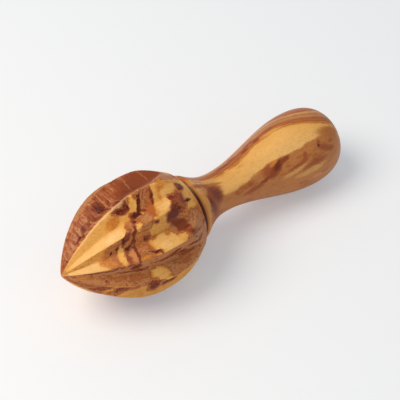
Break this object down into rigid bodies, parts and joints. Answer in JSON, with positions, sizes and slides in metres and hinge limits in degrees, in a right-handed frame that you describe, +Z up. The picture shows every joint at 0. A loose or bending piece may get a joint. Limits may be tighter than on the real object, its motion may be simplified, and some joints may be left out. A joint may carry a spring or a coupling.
{
  "type": "wooden citrus reamer",
  "caption": "Hand reamer for juicing citrus: a pointed, fluted olive-wood head on a pear-shaped turned handle, joined by a glued round tenon.",
  "frame": {"origin": "on the table below the middle of the object's box, as it lies at rest on two ridges of the head and on the swell of the handle", "axes": "+X runs along the tool from the reaming tip to the butt of the handle, +Z is up, and the XZ plane halves the object"},
  "size_m": [0.1546, 0.0524, 0.0522],
  "materials": {
    "head_wood": "oiled olive wood, fluted, satin",
    "handle_wood": "oiled olive wood, turned, satin"
  },
  "bodies": {
    "root": {"reamer_head": "head_wood", "handle": "handle_wood"}
  },
  "joints": []
}
